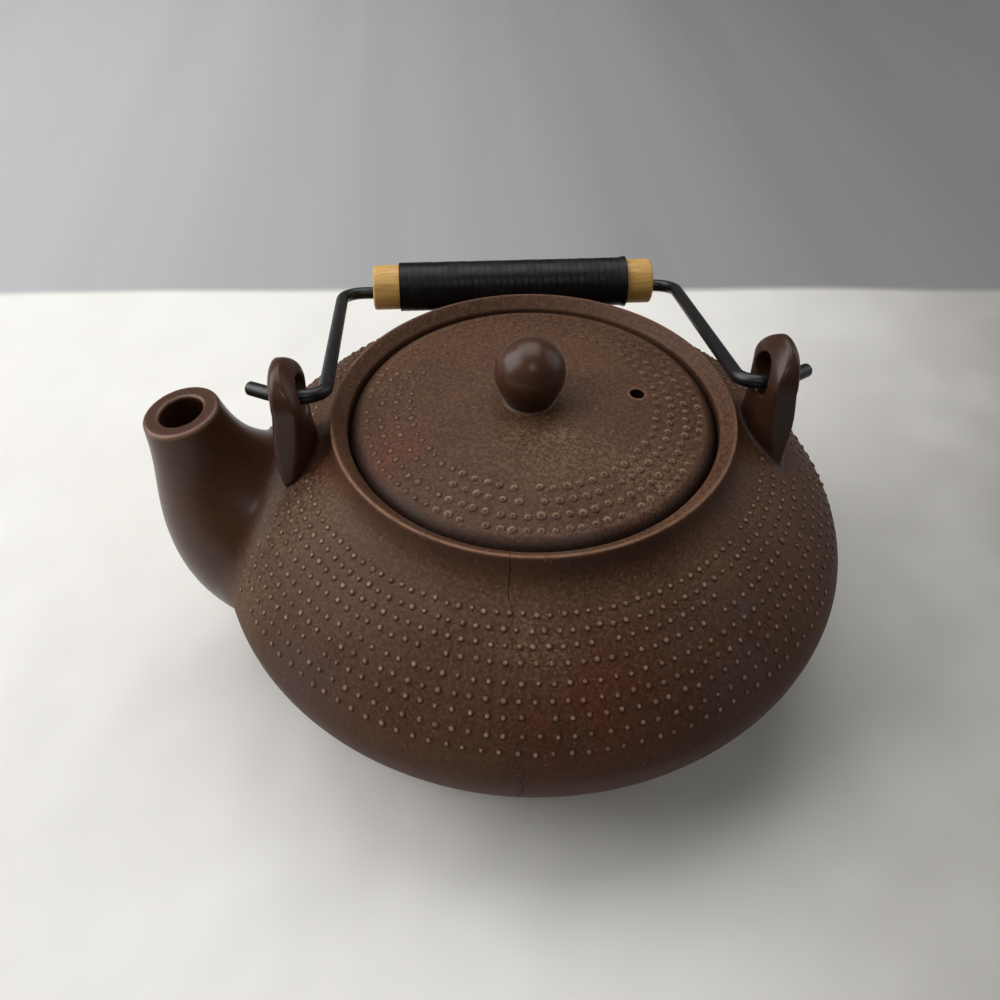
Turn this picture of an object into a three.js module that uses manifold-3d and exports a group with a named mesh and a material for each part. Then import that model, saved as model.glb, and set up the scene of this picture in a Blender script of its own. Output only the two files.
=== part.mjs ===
// Clay teapot with a folding wire bail: a low round pot with a luted spout and two lugs,
// a domed lid with a ball knob, and a wire bail with a wound wooden grip.
// Millimetres. The origin is the centre of the flat base on the pot's axis, +Z is up,
// the spout points along -X and the bail is folded back towards +Y.

import * as THREE from 'three';
import { mergeVertices } from 'three/addons/utils/BufferGeometryUtils.js';
import Module from 'manifold-3d';

const wasm = await Module();
wasm.setup();

// Gaps between pieces
const luteGap = 0.3; // clay pieces that were stuck together with slip
const restGap = 0.3; // pieces that lie on each other and lift off
const lidPlay = 0.5; // round the edge of the lid, inside the rim
const flangePlay = 0.6; // round the lid's flange, inside the mouth

// Pot
const bellyRadius = 80;
const bellyHeight = 36.5; // widest level
const baseRadius = 38.8;
const footSlope = 17; // degrees over the table where the belly leaves the base
const footPull = 21.3; // lengths of the Bezier handles of the belly's two halves
const lowerPull = 15.3;
const upperPull = 8;
const shoulderPull = 14.7;
const shoulderSlope = 12; // degrees under the horizontal where the shoulder starts
const wall = 4;
const baseThickness = 5;
const rimHeight = 74;
const rimWidth = 4.1;
const rimCrown = 1.5; // height of the rounded top of the rim
const collarHeight = 7.6; // rim over the top of the shoulder
const collarFlare = 1.25; // shoulder's start outside the rim
const mouthRadius = 38.5;
const ledgeThickness = 5;

// Lid
const lidRadius = 44.4;
const lidSink = 2.8; // lid's edge under the top of the rim
const lidEdge = 4.2; // thickness at the edge
const lidRise = 5.5; // centre over the edge
const lidRound = 3; // rounded upper edge
const lidFlatness = 3.2; // exponent of the dome: a higher one is flatter in the middle
const lidThickness = 5;
const flangeDepth = 8;
const flangeWall = 3.5;
const ventRadius = 1.75;
const ventDistance = 25.4; // from the lid's axis
const ventAngle = 2; // degrees round from +X
const knobRadius = 8.4;
const knobFootRadius = 5.9;
const knobTaper = 24; // degrees under the ball's middle where the neck starts
const knobHeight = 16.3;
const knobShift = 0.9; // knob's axis off the lid's, towards the spout

// Spout
const spoutRootInset = 14.9; // centreline's start inside the belly
const spoutRootDrop = 2.8; // and under its widest level
const spoutReach = 3.2; // mouth's centre outside the belly
const spoutRise = 4; // and over the rim
const spoutRootAngle = 57; // degrees over the horizontal
const spoutMouthAngle = 81;
const spoutRootPull = 22.7; // lengths of the Bezier handles
const spoutMouthPull = 23;
const spoutRadii = [23.4, 25.3, 11.5, 9.3]; // Bezier values from the root to the mouth
const spoutRootDepth = 20; // rounded end inside the belly
const spoutWall = 4;
const spoutLipRound = 0.5;
const inletRadius = 10; // hole through the pot's wall
const inletHeight = 41;

// Strainer behind the inlet
const strainerRadius = 15;
const strainerWall = 2.5;
const strainerBulge = 11.5; // into the pot from its wall
const strainerHoleRadius = 1.6;
const strainerRings = [[1, 0], [6, 32]]; // holes in a ring, degrees off the middle

// Lugs
const lugOffset = 7.9; // middle of a lug outside the start of the shoulder
const lugOutside = 3.3; // faces away from the rim and towards it, from the hole's middle line
const lugInside = 4.5;
const lugFlare = 1; // how far the foot spreads towards the rim
const lugPeak = 0.6; // ridge of the crown, outside the hole's middle line
const lugRearShift = 0.6; // the rear lug stands further out
const lugSpoutSpan = 22; // along Y at the foot
const lugRearSpan = 24.6;
const lugFaceWidth = 6; // flat narrow face between the two ridges, at its widest
const lugFootDrop = 5; // end of the flanks under the start of the shoulder
const lugRise = 16; // top of a lug over the rim
const lugCrown = 4.1; // clay over the hole
const lugCheek = 4.2; // clay beside the hole
const lugHoleRadius = 5.1;

// Bail
const wireRadius = 1.75;
const bailInset = 6; // from the belly's widest in to the middle of the grip's run
const bailCornerRadius = 6;
const armPlay = 2.2; // between an arm and its lug
const bailShift = 0.5; // towards the rear lug, as it lies
const hookBendRadius = 5;
const hookCurlRadius = 15;
const hookCurlAngle = 36; // degrees, upturn of the free end
const hookTailLength = 5.6; // straight end after the curl
const hookDip = 0.5; // lowest point of the hook under the hinge line
const wireUnderRoom = 2.3; // under the hinge line's wire in the lugs' holes
const bailRoll = 1.15; // degrees, hinge line higher on the spout's side

// Grip
const gripEndPlay = 2.1; // to the wire's corner, each end
const gripShift = 1; // along the wire, the same way
const gripRadius = 6.5;
const gripBoreRadius = 3.6;
const gripChamfer = 0.6;
const woodEndLength = 8;
const wrapRadius = 7.1;
const strandThickness = 1.3;
const strandGap = 0.46; // between neighbouring turns
const wrapTurns = 24;

// Facets
const potSides = 48;
const lidSides = 48;
const knobSides = 24;
const wireSides = 10;

const degrees = Math.PI / 180;

// Levels and radii that follow from the sizes above
const lidEdgeHeight = rimHeight - lidSink;
const lidSeatHeight = lidEdgeHeight - lidEdge;
const ledgeHeight = lidSeatHeight - restGap;
const lidTopHeight = lidEdgeHeight + lidRise;
const rimInnerRadius = lidRadius + lidPlay;
const rimOuterRadius = rimInnerRadius + rimWidth;
const shoulderRadius = rimOuterRadius + collarFlare;
const shoulderHeight = rimHeight - collarHeight;
const bailReach = bellyRadius - bailInset; // from the hinge to the middle of the grip's run
const lugX = shoulderRadius + lugOffset;
const lugTop = rimHeight + lugRise;
const lugHoleHeight = lugTop - lugCrown - lugHoleRadius;
const hingeHeight = lugHoleHeight - lugHoleRadius + wireRadius + wireUnderRoom;
const armX = lugX - lugInside - armPlay - wireRadius;
const gripHalf = armX - bailCornerRadius - gripEndPlay;
const wrapHalf = gripHalf - woodEndLength;

// Basic solids

// Welds a closed geometry, drops triangles without area and turns its faces outwards.
function weld(geometry) {
  const bare = new THREE.BufferGeometry();
  bare.setAttribute('position', geometry.getAttribute('position').clone());
  if (geometry.index) bare.setIndex(geometry.index.clone());
  const merged = mergeVertices(bare, 1e-4);
  const corners = merged.index.array;
  const kept = [];
  for (let i = 0; i < corners.length; i += 3) {
    const [a, b, c] = corners.slice(i, i + 3);
    if (a !== b && b !== c && c !== a) kept.push(a, b, c);
  }
  merged.setIndex(kept);
  if (signedVolume(merged) < 0) merged.setIndex(kept.reverse());
  return merged;
}

function signedVolume(geometry) {
  const position = geometry.getAttribute('position');
  const index = geometry.index.array;
  const [a, b, c] = [new THREE.Vector3(), new THREE.Vector3(), new THREE.Vector3()];
  let volume = 0;
  for (let i = 0; i < index.length; i += 3) {
    a.fromBufferAttribute(position, index[i]);
    b.fromBufferAttribute(position, index[i + 1]);
    c.fromBufferAttribute(position, index[i + 2]);
    volume += a.dot(b.cross(c)) / 6;
  }
  return volume;
}

function solidOf(geometry) {
  const welded = weld(geometry);
  return new wasm.Manifold(new wasm.Mesh({
    numProp: 3,
    vertProperties: new Float32Array(welded.getAttribute('position').array),
    triVerts: new Uint32Array(welded.index.array),
  }));
}

function geometryOf(solid) {
  const mesh = solid.getMesh();
  const geometry = new THREE.BufferGeometry();
  geometry.setAttribute('position', new THREE.BufferAttribute(new Float32Array(mesh.vertProperties), 3));
  geometry.setIndex(new THREE.BufferAttribute(new Uint32Array(mesh.triVerts), 1));
  return geometry;
}

function pieceMesh(name, geometry, material) {
  geometry.computeVertexNormals();
  const mesh = new THREE.Mesh(geometry, material);
  mesh.name = name;
  return mesh;
}

// A profile of [radius, height] points turned round the Z axis.
function turned(profile, sides) {
  const points = profile.map(([r, z]) => new THREE.Vector2(r, z));
  return new THREE.LatheGeometry(points, sides).rotateX(Math.PI / 2);
}

// A closed skin over rings that each have the same number of points.
function skin(rings) {
  const sides = rings[0].length;
  const position = rings.flat().flatMap((p) => [p.x, p.y, p.z]);
  const index = [];
  for (let i = 0; i + 1 < rings.length; i += 1) {
    for (let j = 0; j < sides; j += 1) {
      const [a, b] = [i * sides + j, i * sides + ((j + 1) % sides)];
      index.push(a, b, b + sides, a, b + sides, a + sides);
    }
  }
  const last = (rings.length - 1) * sides;
  for (let j = 1; j + 1 < sides; j += 1) {
    index.push(0, j + 1, j);
    index.push(last, last + j, last + j + 1);
  }
  const geometry = new THREE.BufferGeometry();
  geometry.setAttribute('position', new THREE.Float32BufferAttribute(position, 3));
  geometry.setIndex(index);
  return geometry;
}

// Points of an arc in a plane, from one angle to another, both in degrees.
function arc(centre, radius, from, to, steps) {
  return Array.from({ length: steps + 1 }, (_, i) => {
    const angle = (from + ((to - from) * i) / steps) * degrees;
    return [centre[0] + radius * Math.cos(angle), centre[1] + radius * Math.sin(angle)];
  });
}

// Pot

// A Bezier curve through four [radius, height] points, as such points.
function bezier(points, steps) {
  const curve = new THREE.CubicBezierCurve(...points.map(([r, z]) => new THREE.Vector2(r, z)));
  return curve.getPoints(steps).map(({ x, y }) => [x, y]);
}

// Outer belly from the foot up to the shoulder, as [radius, height].
function bellyOutline(lowerSteps, upperSteps) {
  const foot = footSlope * degrees;
  const lower = bezier([
    [baseRadius, 0],
    [baseRadius + footPull * Math.cos(foot), footPull * Math.sin(foot)],
    [bellyRadius, bellyHeight - lowerPull],
    [bellyRadius, bellyHeight],
  ], lowerSteps);
  return [...lower.slice(0, -1), ...shoulderOutline(upperSteps)];
}

function shoulderOutline(steps) {
  const slope = shoulderSlope * degrees;
  return bezier([
    [bellyRadius, bellyHeight],
    [bellyRadius, bellyHeight + upperPull],
    [shoulderRadius + shoulderPull * Math.cos(slope), shoulderHeight - shoulderPull * Math.sin(slope)],
    [shoulderRadius, shoulderHeight],
  ], steps);
}

// Moves an outline that runs upwards by a distance towards the outside.
function offset(outline, distance) {
  return outline.map(([r, z], i) => {
    const [r0, z0] = outline[Math.max(i - 1, 0)];
    const [r1, z1] = outline[Math.min(i + 1, outline.length - 1)];
    const length = Math.hypot(r1 - r0, z1 - z0);
    return [r + (distance * (z1 - z0)) / length, z - (distance * (r1 - r0)) / length];
  });
}

// The stretch of an upward outline between two levels, with its ends on them.
function between(outline, low, high) {
  const cut = (level) => {
    const i = outline.findIndex(([, z], k) => k > 0 && z >= level);
    const [[r0, z0], [r1, z1]] = [outline[i - 1], outline[i]];
    return [r0 + ((r1 - r0) * (level - z0)) / (z1 - z0), level];
  };
  const inside = outline.filter(([, z]) => z > low + 0.2 && z < high - 0.2);
  return [cut(low), ...inside, cut(high)];
}

// Collar and rounded rim, from the shoulder's start to the inside of the rim.
function rimOutline(grow) {
  const middle = (rimInnerRadius + rimOuterRadius) / 2;
  const half = rimWidth / 2 + grow;
  const crest = arc([0, 0], 1, 0, 180, 6).map(([c, s]) => [
    middle + half * c,
    rimHeight - rimCrown + (rimCrown + grow) * s,
  ]);
  const fold = [rimOuterRadius + grow + 0.25 * collarFlare, shoulderHeight + grow + 0.3 * collarHeight];
  return [fold, ...crest];
}

function cavityOutline(inset) {
  const inner = offset(bellyOutline(7, 9), -(wall + inset));
  return between(inner, baseThickness + inset, ledgeHeight - ledgeThickness - inset);
}

function potShell() {
  const cavity = cavityOutline(0).reverse();
  return solidOf(turned([
    [0, 0],
    ...bellyOutline(10, 12),
    ...rimOutline(0),
    [rimInnerRadius, ledgeHeight],
    [mouthRadius, ledgeHeight],
    [mouthRadius, ledgeHeight - ledgeThickness],
    ...cavity,
    [0, baseThickness],
  ], potSides));
}

// The pot's outer form without its hollow, a lute's gap larger all round.
function potForm() {
  return solidOf(turned([
    [0, -luteGap],
    ...offset(bellyOutline(10, 12), luteGap),
    ...rimOutline(luteGap),
    [0, rimHeight],
  ], potSides));
}

function inletCutter() {
  const depth = bellyRadius / 2;
  const cutter = new THREE.CylinderGeometry(inletRadius, inletRadius, depth, 24);
  cutter.rotateZ(Math.PI / 2).translate(-bellyRadius + depth / 4, 0, inletHeight);
  return solidOf(cutter);
}

// Strainer: a pierced clay dome over the inlet, inside the pot

function strainer() {
  const inner = cavityOutline(luteGap);
  const potInside = solidOf(turned([[0, inner[0][1]], ...inner, [0, inner.at(-1)[1]]], potSides));
  const wallAtInlet = between(inner, inner[0][1], inletHeight).at(-1)[0];
  const centre = new THREE.Vector3(-wallAtInlet - strainerRadius + strainerBulge, 0, inletHeight);
  const ball = (radius) => new THREE.SphereGeometry(radius, 16, 10).translate(...centre);
  let dome = solidOf(ball(strainerRadius)).subtract(solidOf(ball(strainerRadius - strainerWall)));
  dome = dome.intersect(potInside);
  for (const [count, tilt] of strainerRings) {
    for (let i = 0; i < count; i += 1) {
      const hole = new THREE.CylinderGeometry(strainerHoleRadius, strainerHoleRadius, strainerRadius, 6);
      hole.translate(0, strainerRadius, 0).rotateZ(-tilt * degrees).rotateY((i * 2 * Math.PI) / count);
      hole.rotateZ(-Math.PI / 2).translate(...centre);
      dome = dome.subtract(solidOf(hole));
    }
  }
  return dome;
}

// Spout

function spoutCentreline() {
  const root = new THREE.Vector3(-bellyRadius + spoutRootInset, 0, bellyHeight - spoutRootDrop);
  const mouth = new THREE.Vector3(-bellyRadius - spoutReach, 0, rimHeight + spoutRise);
  const along = (angle) => new THREE.Vector3(-Math.cos(angle * degrees), 0, Math.sin(angle * degrees));
  return new THREE.CubicBezierCurve3(
    root,
    root.clone().addScaledVector(along(spoutRootAngle), spoutRootPull),
    mouth.clone().addScaledVector(along(spoutMouthAngle), -spoutMouthPull),
    mouth,
  );
}

function spoutRadiusAt(t) {
  const points = spoutRadii.map((radius) => new THREE.Vector2(radius, 0));
  return new THREE.CubicBezierCurve(...points).getPoint(t).x;
}

// Ring of a curve that lies in the XZ plane, square to it.
function ringOn(point, tangent, radius) {
  const sides = 24;
  const side = new THREE.Vector3(0, 1, 0);
  const up = new THREE.Vector3().crossVectors(tangent, side);
  return Array.from({ length: sides }, (_, j) => {
    const angle = (j * 2 * Math.PI) / sides;
    return point.clone()
      .addScaledVector(side, radius * Math.cos(angle))
      .addScaledVector(up, radius * Math.sin(angle));
  });
}

// Rings along the spout, inset from its outside: the rounded end inside the belly, then
// the length up to the mouth, short of the mouth itself.
function spoutRings(inset) {
  const line = spoutCentreline();
  const steps = 10;
  const direction = line.getTangent(0);
  const end = [0.95, 0.8, 0.55, 0.3].map((share) => {
    const centre = line.getPoint(0).addScaledVector(direction, -share * (spoutRootDepth - inset));
    return ringOn(centre, direction, (spoutRadii[0] - inset) * Math.sqrt(1 - share ** 2));
  });
  const length = Array.from({ length: steps }, (_, i) => {
    const t = i / steps;
    return ringOn(line.getPoint(t), line.getTangent(t), spoutRadiusAt(t) - inset);
  });
  return [...end, ...length];
}

// The spout's outer form without its bore, a lute's gap larger.
function spoutForm() {
  return solidOf(skin(spoutRings(-luteGap)));
}

function spout() {
  const line = spoutCentreline();
  const direction = line.getTangent(1);
  const mouthRing = (overrun, inset) => {
    const centre = line.getPoint(1).addScaledVector(direction, overrun);
    return ringOn(centre, direction, spoutRadiusAt(1) - inset);
  };
  const outside = solidOf(skin([
    ...spoutRings(0),
    mouthRing(-spoutLipRound, 0),
    mouthRing(0, spoutLipRound),
  ]));
  const bore = solidOf(skin([...spoutRings(spoutWall), mouthRing(spoutWall, spoutWall)]));
  return outside.subtract(bore).subtract(potForm());
}

// Lugs: upright ears with the bail's hole along X, rounded over the crown, with a narrow
// flat face between two ridges that runs out to a point on the shoulder

// Level section of a lug from its outside face to its inside face. It has half its span
// and half its flat face, and a roundness of 0 leaves sharp ridges beside the flat face.
function lugRing({ z, span, face, outside, inside, roundness }) {
  const steps = 8;
  const middle = (outside - inside) / 2;
  const half = (outside + inside) / 2;
  const side = Array.from({ length: steps + 1 }, (_, i) => {
    const y = -Math.cos((i * Math.PI) / steps);
    return [face + (half - face) * Math.max(1 - y * y, 0) ** (1 / (1 + roundness)), span * y];
  });
  const back = side.map(([x, y]) => [-x, y]).reverse();
  return [...side, ...back].map(([x, y]) => new THREE.Vector3(middle + x, y, z));
}

function lugRings(footSpan) {
  const crownRadius = lugHoleRadius + lugCheek;
  const crownHeight = lugTop - crownRadius;
  const foot = shoulderHeight - lugFootDrop;
  const shank = [0, 0.2, 0.4, 0.6, 0.8, 1].map((u) => ({
    z: foot + (crownHeight - foot) * u,
    span: crownRadius + (footSpan / 2 - crownRadius) * (1 - u) ** 2,
    face: (lugFaceWidth / 2) * Math.sin(Math.PI * (0.08 + 0.62 * u)),
    outside: lugOutside,
    inside: lugInside + lugFlare * (1 - u) ** 2,
    roundness: u ** 2,
  }));
  const crown = [15, 30, 45, 60, 75, 90].map((angle) => {
    const across = Math.cos(angle * degrees);
    const z = crownHeight + crownRadius * Math.sin(angle * degrees);
    const rise = Math.max(z - (lugTop - lugOutside), 0) / lugOutside;
    const outside = lugPeak + (lugOutside - lugPeak) * Math.sqrt(Math.max(1 - rise ** 2, 0));
    const inside = -lugPeak + (lugInside + lugPeak) * across ** 1.6;
    const face = ((outside + inside) / 2) * 0.6 * across;
    return { z, span: crownRadius * across, face, outside, inside, roundness: 1 };
  });
  const root = { ...shank[0], z: bellyHeight };
  return [root, ...shank, ...crown].map(lugRing);
}

function lug(x, footSpan) {
  const ear = skin(lugRings(footSpan)).scale(Math.sign(x), 1, 1);
  const hole = new THREE.CylinderGeometry(lugHoleRadius, lugHoleRadius, 4 * lugInside, 20);
  hole.rotateZ(Math.PI / 2).translate(0, 0, lugHoleHeight);
  return solidOf(ear)
    .subtract(solidOf(hole))
    .translate([x, 0, 0])
    .subtract(potForm())
    .subtract(spoutForm());
}

// Lid

function lidTop(r) {
  return lidEdgeHeight + lidRise * (1 - (r / lidRadius) ** lidFlatness);
}

const flangeOuterRadius = mouthRadius - flangePlay;
const flangeInnerRadius = flangeOuterRadius - flangeWall;

function lidPlate() {
  const steps = 7;
  const dome = Array.from({ length: steps }, (_, i) => {
    const r = ((lidRadius - lidRound) * (steps - 1 - i)) / (steps - 1);
    return [r, lidTop(r)];
  });
  const under = [0, 0.4, 0.7, 1].map((share) => {
    const r = flangeInnerRadius * share;
    return [r, Math.max(lidTop(r) - lidThickness, lidSeatHeight)];
  });
  const edge = arc([lidRadius - lidRound, lidTop(lidRadius - lidRound) - lidRound], lidRound, 0, 64, 4);
  const plate = solidOf(turned([
    ...under,
    [flangeInnerRadius, lidSeatHeight],
    [lidRadius, lidSeatHeight],
    ...edge,
    ...dome,
  ], lidSides));
  const vent = new THREE.CylinderGeometry(ventRadius, ventRadius, lidTopHeight, 16).rotateX(Math.PI / 2);
  vent.translate(ventDistance, 0, lidTopHeight).rotateZ(ventAngle * degrees);
  return plate.subtract(solidOf(vent));
}

function lidFlange() {
  const top = lidSeatHeight - luteGap;
  const bottom = top - flangeDepth;
  const round = flangeWall / 4;
  return solidOf(turned([
    [flangeInnerRadius, top],
    [flangeInnerRadius, bottom + round],
    [flangeInnerRadius + round, bottom],
    [flangeOuterRadius - round, bottom],
    [flangeOuterRadius, bottom + round],
    [flangeOuterRadius, top],
    [flangeInnerRadius, top],
  ], lidSides));
}

function lidKnob() {
  const foot = lidTopHeight + luteGap;
  const top = lidTopHeight + knobHeight;
  const ball = arc([0, top - knobRadius], knobRadius, -knobTaper, 90, 9);
  return solidOf(turned([
    [0, foot],
    [knobFootRadius, foot],
    ...ball.slice(0, -1),
    [0, top],
  ], knobSides)).translate([-knobShift, 0, 0]);
}

// Bail

// Angle of the folded bail: the grip lies on the shoulder, and the wire lies in the
// grip's bore on the side next to the pot. All points are [y, z].
function foldedBail() {
  const outline = shoulderOutline(400);
  const skinOfGrip = offset(outline, wrapRadius + restGap);
  const skinOfWire = offset(outline, wrapRadius + restGap - (gripBoreRadius - wireRadius - restGap));
  const distance = ([y, z]) => Math.hypot(y, z - hingeHeight);
  const i = skinOfWire.findIndex((point) => distance(point) <= bailReach);
  const tilt = Math.atan2(skinOfWire[i][0], skinOfWire[i][1] - hingeHeight);
  return { grip: skinOfGrip[i], wire: skinOfWire[i], tilt };
}

// Half of the wire in its own plane, as [x, distance from the hinge line towards the grip].
function halfBail() {
  const corner = arc([armX - bailCornerRadius, bailReach - bailCornerRadius], bailCornerRadius, 90, 0, 6);
  const bend = arc([armX + hookBendRadius, hookBendRadius - hookDip], hookBendRadius, 180, 270, 6);
  const curlCentre = [armX + hookBendRadius, hookCurlRadius - hookDip];
  const curl = arc(curlCentre, hookCurlRadius, 270, 270 + hookCurlAngle, 5);
  const [x, s] = curl.at(-1);
  const tail = [
    x + hookTailLength * Math.cos(hookCurlAngle * degrees),
    s + hookTailLength * Math.sin(hookCurlAngle * degrees),
  ];
  return [...corner, ...bend, ...curl.slice(1), tail];
}

function bailWire(tilt) {
  const half = halfBail();
  const flat = [...half.map(([x, s]) => [-x, s]).reverse(), ...half];
  const points = flat.map(([x, s]) => new THREE.Vector3(x, s * Math.sin(tilt), s * Math.cos(tilt)));
  const normal = new THREE.Vector3(0, Math.cos(tilt), -Math.sin(tilt));
  const rings = points.map((point, i) => {
    const before = point.clone().sub(points[Math.max(i - 1, 0)]).normalize();
    const after = points[Math.min(i + 1, points.length - 1)].clone().sub(point).normalize();
    const tangent = before.clone().add(after).normalize();
    const across = new THREE.Vector3().crossVectors(normal, tangent);
    const mitre = 1 / Math.max(before.dot(tangent), after.dot(tangent));
    return Array.from({ length: wireSides }, (_, j) => {
      const angle = ((j + 0.5) * 2 * Math.PI) / wireSides;
      return point.clone()
        .addScaledVector(across, wireRadius * mitre * Math.cos(angle))
        .addScaledVector(normal, wireRadius * Math.sin(angle));
    });
  });
  return weld(skin(rings));
}

// Grip, built round the X axis and then set on the wire

function gripCore() {
  const wood = gripRadius - gripChamfer;
  const relief = wrapRadius - strandThickness - restGap;
  const reliefHalf = wrapHalf + restGap;
  return solidOf(turned([
    [gripBoreRadius, -gripHalf],
    [wood, -gripHalf],
    [gripRadius, -gripHalf + gripChamfer],
    [gripRadius, -reliefHalf],
    [relief, -reliefHalf],
    [relief, reliefHalf],
    [gripRadius, reliefHalf],
    [gripRadius, gripHalf - gripChamfer],
    [wood, gripHalf],
    [gripBoreRadius, gripHalf],
    [gripBoreRadius, -gripHalf],
  ], 24));
}

// The winding: one strand of flat six-sided section, turn beside turn.
function gripWrap() {
  const steps = 24;
  const strandWidth = (2 * wrapHalf - wrapTurns * strandGap) / (wrapTurns + 1);
  const pitch = strandWidth + strandGap;
  const middle = wrapRadius - strandThickness / 2;
  const section = [[-1, 0], [-0.7, 1], [0.7, 1], [1, 0], [0.7, -1], [-0.7, -1]];
  const rings = Array.from({ length: wrapTurns * steps + 1 }, (_, i) => {
    const angle = (i * 2 * Math.PI) / steps;
    const height = -wrapHalf + strandWidth / 2 + (pitch * i) / steps;
    return section.map(([w, t]) => {
      const radius = middle + (t * strandThickness) / 2;
      const along = height + (w * strandWidth) / 2;
      return new THREE.Vector3(radius * Math.cos(angle), radius * Math.sin(angle), along);
    });
  });
  console.log(`winding: least gap to itself ${leastTurnGap(rings, steps).toFixed(2)} mm`);
  return weld(skin(rings));
}

// Least distance between points of one turn of a winding and points of the next.
function leastTurnGap(rings, steps) {
  let least = Infinity;
  for (let i = 0; i + steps < rings.length; i += 1) {
    for (const near of rings[i]) {
      for (const far of rings[i + steps]) least = Math.min(least, near.distanceTo(far));
    }
  }
  return least;
}

// Assembly

const clay = (color) => new THREE.MeshStandardMaterial({ color, roughness: 0.55, metalness: 0 });
const wood = new THREE.MeshStandardMaterial({ color: 0xbe9650, roughness: 0.6, metalness: 0 });
const cord = new THREE.MeshStandardMaterial({ color: 0x141416, roughness: 0.5, metalness: 0 });
const steel = new THREE.MeshStandardMaterial({ color: 0x1c1d1f, roughness: 0.4, metalness: 0.3 });

function pot() {
  const group = new THREE.Group();
  const body = potShell().subtract(inletCutter());
  group.add(pieceMesh('pot_body', geometryOf(body), clay(0x5a4238)));
  group.add(pieceMesh('spout', geometryOf(spout()), clay(0x5c4339)));
  group.add(pieceMesh('spout_strainer', geometryOf(strainer()), clay(0x523c33)));
  group.add(pieceMesh('lug_spout_side', geometryOf(lug(-lugX, lugSpoutSpan)), clay(0x4c342b)));
  group.add(pieceMesh('lug_rear_side', geometryOf(lug(lugX + lugRearShift, lugRearSpan)), clay(0x4c342b)));
  return group;
}

function lid() {
  const group = new THREE.Group();
  group.add(pieceMesh('lid_plate', geometryOf(lidPlate()), clay(0x63493e)));
  group.add(pieceMesh('lid_flange', geometryOf(lidFlange()), clay(0x5a4238)));
  group.add(pieceMesh('lid_knob', geometryOf(lidKnob()), clay(0x4c342b)));
  return group;
}

function bail() {
  const folded = foldedBail();
  const grip = new THREE.Group();
  grip.add(pieceMesh('grip_core', geometryOf(gripCore()), wood));
  grip.add(pieceMesh('grip_wrap', gripWrap(), cord));
  grip.rotation.y = Math.PI / 2;
  grip.position.set(gripShift, folded.grip[0], folded.grip[1] - hingeHeight);
  const group = new THREE.Group();
  group.add(pieceMesh('bail_wire', bailWire(folded.tilt), steel), grip);
  group.position.set(bailShift, 0, hingeHeight);
  group.rotation.y = bailRoll * degrees;
  group.updateMatrixWorld(true);
  const axis = new THREE.Vector3(1, 0, 0).transformDirection(group.matrixWorld);
  const middle = new THREE.Vector3().setFromMatrixPosition(grip.matrixWorld);
  const text = (point) => point.toArray().map((value) => value.toFixed(5)).join(', ');
  console.log(`hinge through ${text(group.position)} along ${text(axis)}`);
  console.log(`grip's middle ${text(middle)}, folded to ${(folded.tilt / degrees).toFixed(2)} degrees`);
  return group;
}

const teapot = new THREE.Group();
teapot.add(pot(), lid(), bail());

export default teapot;
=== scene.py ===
from math import cos, hypot, pi, radians, sin, sqrt, tan
from random import Random

import bmesh
import bpy
from mathutils import Matrix, Vector
from mathutils.bvhtree import BVHTree
from mathutils.geometry import interpolate_bezier


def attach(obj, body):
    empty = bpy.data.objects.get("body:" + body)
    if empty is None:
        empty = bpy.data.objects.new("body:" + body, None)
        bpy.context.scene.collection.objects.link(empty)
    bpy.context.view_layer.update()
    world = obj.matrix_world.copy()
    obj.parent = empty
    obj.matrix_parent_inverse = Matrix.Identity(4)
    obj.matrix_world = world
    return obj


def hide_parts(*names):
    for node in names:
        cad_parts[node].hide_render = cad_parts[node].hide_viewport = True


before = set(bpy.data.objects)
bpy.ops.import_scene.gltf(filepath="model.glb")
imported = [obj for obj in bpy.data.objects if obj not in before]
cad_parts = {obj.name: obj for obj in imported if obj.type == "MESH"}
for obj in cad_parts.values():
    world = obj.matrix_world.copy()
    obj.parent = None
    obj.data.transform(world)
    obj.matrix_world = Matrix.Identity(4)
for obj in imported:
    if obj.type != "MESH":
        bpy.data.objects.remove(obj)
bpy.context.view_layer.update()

# Pot
# Thrown from fine iron-rich clay, turned, pressed with rows of studs and fired without a
# glaze. The rim slopes in and is worn round outside, with a ledge under it for the lid.
# All sizes are in millimetres, and a finished mesh is scaled to metres.

millimetre = 0.001
belly_radius = 80
belly_height = 36.5
base_radius = 38.8
base_bevel = 1.2
shoulder_end = (50.25, 66.4)
neck_join = 5  # last points of the belly's curve, which the neck's curve replaces
rim_inner_radius = 44.9
rim_outer_radius = 49.0
rim_height = 74
rim_slope = 41
rim_round = 0.8
rim_lip = 0.65
ledge_height = 66.7
ledge_foot = 62.3
ledge_round = 0.6
mouth_radius = 38.5
cavity_top = (52.2, 61.7)
cavity_radius = 76
floor_radius = 41.5
floor_height = 5
pot_sides = 160
inlet_radius = 10
inlet_centre = (-78, 0, 41)


def curve(points, steps):
    """Points of a Bezier curve from its end, two handles and other end, as (radius, height)."""
    return interpolate_bezier(*(Vector((r, 0, z)) for r, z in points), steps + 1)


def rounded(centre, radius, start, end, steps):
    """Points of an arc, from one angle to another in degrees."""
    turns = (radians(start + (end - start) * i / steps) for i in range(steps + 1))
    return [Vector((centre[0] + radius * cos(a), 0, centre[1] + radius * sin(a))) for a in turns]


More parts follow.
